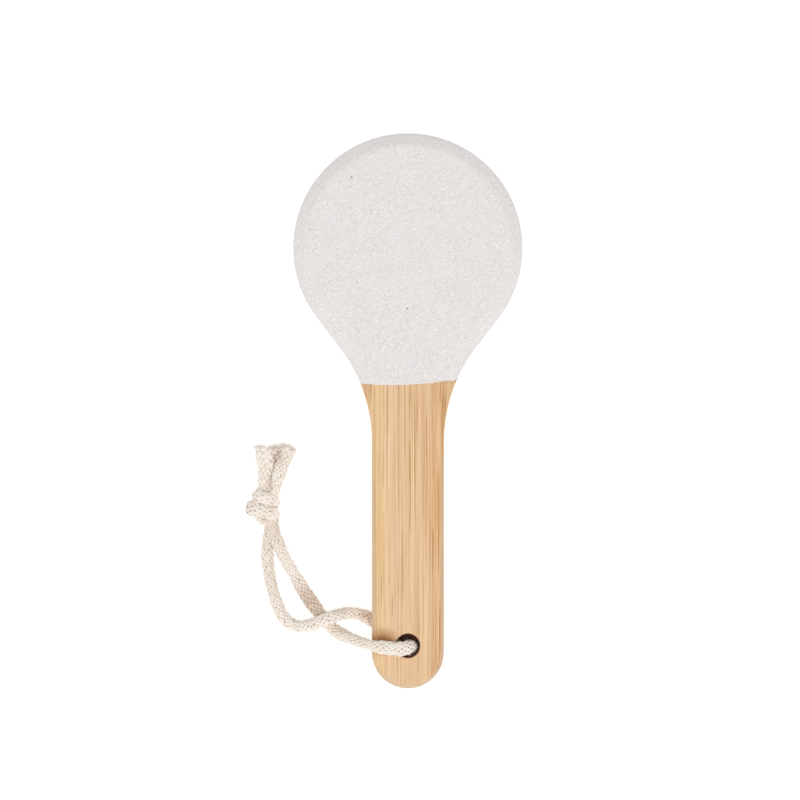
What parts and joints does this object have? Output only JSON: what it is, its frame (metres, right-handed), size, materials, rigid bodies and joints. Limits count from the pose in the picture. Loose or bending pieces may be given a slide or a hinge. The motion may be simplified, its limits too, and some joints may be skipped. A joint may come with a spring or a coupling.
{
  "type": "foot file",
  "caption": "Paddle foot file: laminated bamboo board with a tapered handle, a round abrasive-coated head for smoothing hard skin, and a knotted cotton cord loop for hanging.",
  "frame": {"origin": "centre of the file's plan box, without the cord, on the back face that it lies on", "axes": "+Y from the handle to the head along the file, +Z out of the front face, +X to the right seen from the front"},
  "size_m": [0.0928, 0.1877, 0.0138],
  "materials": {
    "bamboo": "sanded, satin",
    "abrasive": "matte, fine granular",
    "cotton_cord": "matte, braided"
  },
  "bodies": {
    "paddle": {"bamboo_strip_centre": "bamboo", "bamboo_strip_left_1": "bamboo", "bamboo_strip_left_2": "bamboo", "bamboo_strip_left_3": "bamboo", "bamboo_strip_left_4": "bamboo", "bamboo_strip_left_5": "bamboo", "bamboo_strip_left_6": "bamboo", "bamboo_strip_left_7": "bamboo", "bamboo_strip_right_1": "bamboo", "bamboo_strip_right_2": "bamboo", "bamboo_strip_right_3": "bamboo", "bamboo_strip_right_4": "bamboo", "bamboo_strip_right_5": "bamboo", "bamboo_strip_right_6": "bamboo", "bamboo_strip_right_7": "bamboo", "abrasive_coat_front": "abrasive", "abrasive_coat_back": "abrasive"},
    "loop": {"cord_front_strand": "cotton_cord", "cord_in_hole": "cotton_cord", "cord_back_strand": "cotton_cord", "cord_tail_left": "cotton_cord", "cord_tail_right": "cotton_cord", "cord_knot": "cotton_cord"}
  },
  "joints": [
    {"name": "loop_swing", "type": "hinge", "parent": "paddle", "child": "loop", "pos_m": [0, -0.07935, 0.006], "axis": [0, 0, 1], "range_deg": [0, 180]}
  ]
}
